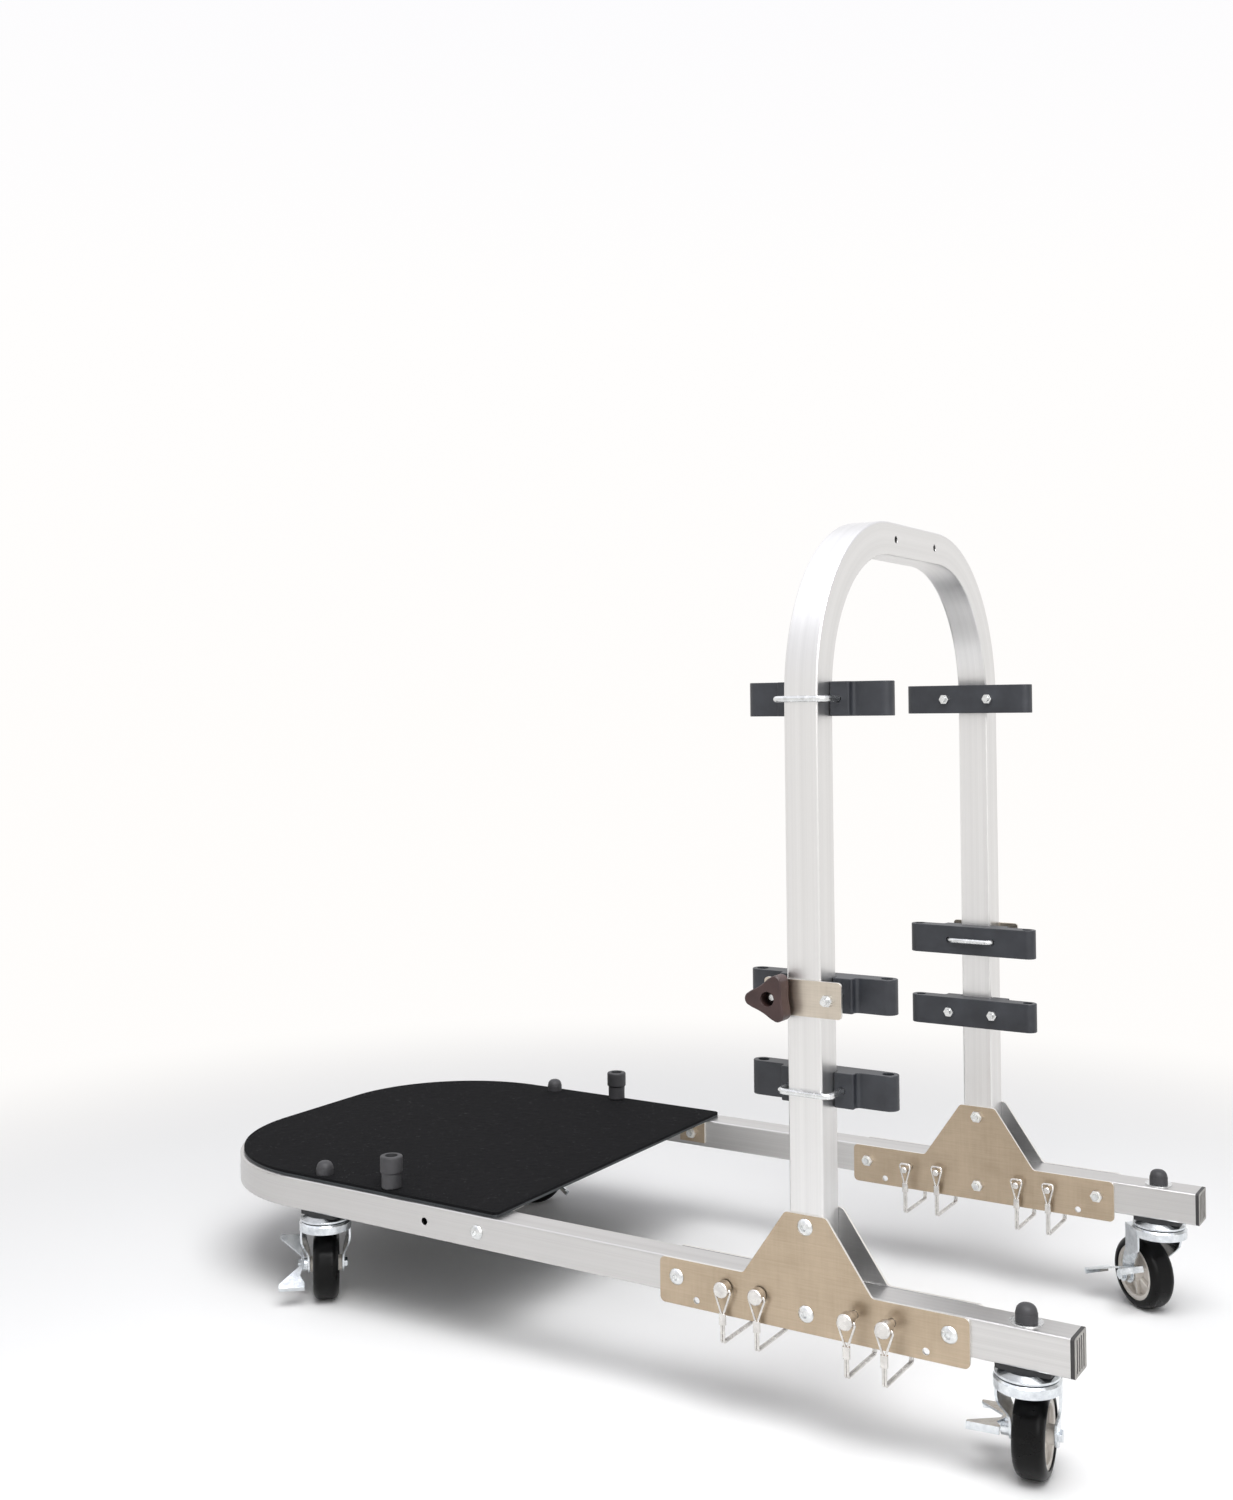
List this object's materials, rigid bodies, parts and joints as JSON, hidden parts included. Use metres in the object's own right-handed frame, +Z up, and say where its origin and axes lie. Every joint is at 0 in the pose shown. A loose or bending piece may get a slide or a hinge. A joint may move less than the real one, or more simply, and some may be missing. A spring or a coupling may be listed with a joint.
{
  "type": "door dolly",
  "caption": "Door dolly of bent square aluminium tube: an upright arch with hinge bars for hanging vehicle doors, a carpeted rear deck and braked swivel casters.",
  "frame": {"origin": "middle of the footprint on the floor", "axes": "+X to the front (the short rails), +Y to the left side, +Z up"},
  "size_m": [1.197, 0.6188, 0.9581],
  "materials": {
    "aluminium": "mill finish with faint extrusion lines",
    "gusset_steel": "brushed, warm",
    "clamp_steel": "brushed",
    "bright_zinc": "bright zinc plated",
    "fork_zinc": "blue-white zinc plated",
    "bar_plastic": "satin moulded",
    "knob_plastic": "satin moulded",
    "cap_plastic": "matt, grooved",
    "pad_plastic": "matt",
    "core_plastic": "satin moulded",
    "board": "matt",
    "carpet": "needle felt",
    "post_rubber": "matt",
    "tyre": "semi-gloss"
  },
  "bodies": {
    "frame": {"upright_arch": "aluminium", "rear_frame": "aluminium", "front_rail_right": "aluminium", "gusset_outer_right": "gusset_steel", "gusset_inner_right": "gusset_steel", "top_bar_right": "bar_plastic", "low_bar_right": "bar_plastic", "front_rail_left": "aluminium", "gusset_outer_left": "gusset_steel", "gusset_inner_left": "gusset_steel", "top_bar_left": "bar_plastic", "low_bar_left": "bar_plastic", "rail_end_caps": "cap_plastic", "gusset_bolts": "bright_zinc", "bracket_bolts": "bright_zinc", "lock_nuts": "bright_zinc", "deck_board": "board", "deck_carpet": "carpet", "deck_posts": "post_rubber", "post_bolts": "bright_zinc", "deck_brackets": "gusset_steel", "u_bolts": "bright_zinc", "u_bolt_nuts": "bright_zinc", "caster_stems": "fork_zinc", "caster_pads": "pad_plastic", "stem_washers": "bright_zinc", "stem_nuts": "bright_zinc", "stem_caps": "post_rubber"},
    "clamp_right": {"clamp_bar_right": "bar_plastic", "clamp_u_bolt_right": "bright_zinc", "clamp_plate_right": "clamp_steel"},
    "knob_right": {"star_knob_right": "knob_plastic"},
    "clamp_left": {"clamp_bar_left": "bar_plastic", "clamp_u_bolt_left": "bright_zinc", "clamp_plate_left": "clamp_steel"},
    "knob_left": {"star_knob_left": "knob_plastic"},
    "pin_right_1": {"lock_pin_right_1": "bright_zinc"},
    "pin_right_2": {"lock_pin_right_2": "bright_zinc"},
    "pin_right_3": {"lock_pin_right_3": "bright_zinc"},
    "pin_right_4": {"lock_pin_right_4": "bright_zinc"},
    "pin_left_1": {"lock_pin_left_1": "bright_zinc"},
    "pin_left_2": {"lock_pin_left_2": "bright_zinc"},
    "pin_left_3": {"lock_pin_left_3": "bright_zinc"},
    "pin_left_4": {"lock_pin_left_4": "bright_zinc"},
    "caster_front_right": {"fork_front_right": "fork_zinc"},
    "wheel_front_right": {"core_front_right": "core_plastic", "tyre_front_right": "tyre"},
    "lever_front_right": {"brake_front_right": "fork_zinc"},
    "caster_front_left": {"fork_front_left": "fork_zinc"},
    "wheel_front_left": {"core_front_left": "core_plastic", "tyre_front_left": "tyre"},
    "lever_front_left": {"brake_front_left": "fork_zinc"},
    "caster_rear_right": {"fork_rear_right": "fork_zinc"},
    "wheel_rear_right": {"core_rear_right": "core_plastic", "tyre_rear_right": "tyre"},
    "lever_rear_right": {"brake_rear_right": "fork_zinc"},
    "caster_rear_left": {"fork_rear_left": "fork_zinc"},
    "wheel_rear_left": {"core_rear_left": "core_plastic", "tyre_rear_left": "tyre"},
    "lever_rear_left": {"brake_rear_left": "fork_zinc"}
  },
  "joints": [
    {"name": "clamp_right_slide", "type": "slide", "parent": "frame", "child": "clamp_right", "axis": [0, 0, 1], "range_m": [-0.058, 0.266]},
    {"name": "knob_right_turn", "type": "hinge", "parent": "clamp_right", "child": "knob_right", "pos_m": [0.298, -0.29, 0.452], "axis": [0, -1, 0], "continuous": true},
    {"name": "clamp_left_slide", "type": "slide", "parent": "frame", "child": "clamp_left", "axis": [0, 0, 1], "range_m": [-0.053, 0.271]},
    {"name": "knob_left_turn", "type": "hinge", "parent": "clamp_left", "child": "knob_left", "pos_m": [0.298, 0.29, 0.447], "axis": [0, 1, 0], "continuous": true},
    {"name": "pin_right_1_slide", "type": "slide", "parent": "frame", "child": "pin_right_1", "axis": [0, -1, 0], "range_m": [-0.001, 0.015]},
    {"name": "pin_right_2_slide", "type": "slide", "parent": "frame", "child": "pin_right_2", "axis": [0, -1, 0], "range_m": [-0.001, 0.015]},
    {"name": "pin_right_3_slide", "type": "slide", "parent": "frame", "child": "pin_right_3", "axis": [0, -1, 0], "range_m": [-0.014, 0.002]},
    {"name": "pin_right_4_slide", "type": "slide", "parent": "frame", "child": "pin_right_4", "axis": [0, -1, 0], "range_m": [-0.014, 0.002]},
    {"name": "pin_left_1_slide", "type": "slide", "parent": "frame", "child": "pin_left_1", "axis": [0, 1, 0], "range_m": [-0.0025, 0.0135]},
    {"name": "pin_left_2_slide", "type": "slide", "parent": "frame", "child": "pin_left_2", "axis": [0, 1, 0], "range_m": [-0.011, 0.005]},
    {"name": "pin_left_3_slide", "type": "slide", "parent": "frame", "child": "pin_left_3", "axis": [0, 1, 0], "range_m": [-0.011, 0.005]},
    {"name": "pin_left_4_slide", "type": "slide", "parent": "frame", "child": "pin_left_4", "axis": [0, 1, 0], "range_m": [-0.011, 0.005]},
    {"name": "caster_front_right_swivel", "type": "hinge", "parent": "frame", "child": "caster_front_right", "pos_m": [0.5475, -0.25695, 0.108], "axis": [0, 0, 1], "continuous": true},
    {"name": "wheel_front_right_roll", "type": "hinge", "parent": "caster_front_right", "child": "wheel_front_right", "pos_m": [0.5436, -0.22519, 0.0435], "axis": [0.9925, 0.1219, 0], "continuous": true},
    {"name": "lever_front_right_rock", "type": "hinge", "parent": "caster_front_right", "child": "lever_front_right", "pos_m": [0.5436, -0.22519, 0.0435], "axis": [0.9925, 0.1219, 0], "range_deg": [-10, 44.5]},
    {"name": "caster_front_left_swivel", "type": "hinge", "parent": "frame", "child": "caster_front_left", "pos_m": [0.5475, 0.25695, 0.108], "axis": [0, 0, 1], "continuous": true},
    {"name": "wheel_front_left_roll", "type": "hinge", "parent": "caster_front_left", "child": "wheel_front_left", "pos_m": [0.52299, 0.27752, 0.0435], "axis": [0.6428, 0.766, 0], "continuous": true},
    {"name": "lever_front_left_rock", "type": "hinge", "parent": "caster_front_left", "child": "lever_front_left", "pos_m": [0.52299, 0.27752, 0.0435], "axis": [0.6428, 0.766, 0], "range_deg": [0, 54.5]},
    {"name": "caster_rear_right_swivel", "type": "hinge", "parent": "frame", "child": "caster_rear_right", "pos_m": [-0.3505, -0.25695, 0.108], "axis": [0, 0, 1], "continuous": true},
    {"name": "wheel_rear_right_roll", "type": "hinge", "parent": "caster_rear_right", "child": "wheel_rear_right", "pos_m": [-0.37149, -0.2328, 0.0435], "axis": [0.7547, 0.6561, 0], "continuous": true},
    {"name": "lever_rear_right_rock", "type": "hinge", "parent": "caster_rear_right", "child": "lever_rear_right", "pos_m": [-0.37149, -0.2328, 0.0435], "axis": [0.7547, 0.6561, 0], "range_deg": [-54.5, 0]},
    {"name": "caster_rear_left_swivel", "type": "hinge", "parent": "frame", "child": "caster_rear_left", "pos_m": [-0.3505, 0.25695, 0.108], "axis": [0, 0, 1], "continuous": true},
    {"name": "wheel_rear_left_roll", "type": "hinge", "parent": "caster_rear_left", "child": "wheel_rear_left", "pos_m": [-0.37107, 0.23244, 0.0435], "axis": [-0.766, 0.6428, 0], "continuous": true},
    {"name": "lever_rear_left_rock", "type": "hinge", "parent": "caster_rear_left", "child": "lever_rear_left", "pos_m": [-0.37107, 0.23244, 0.0435], "axis": [-0.766, 0.6428, 0], "range_deg": [-54.5, 0]}
  ]
}
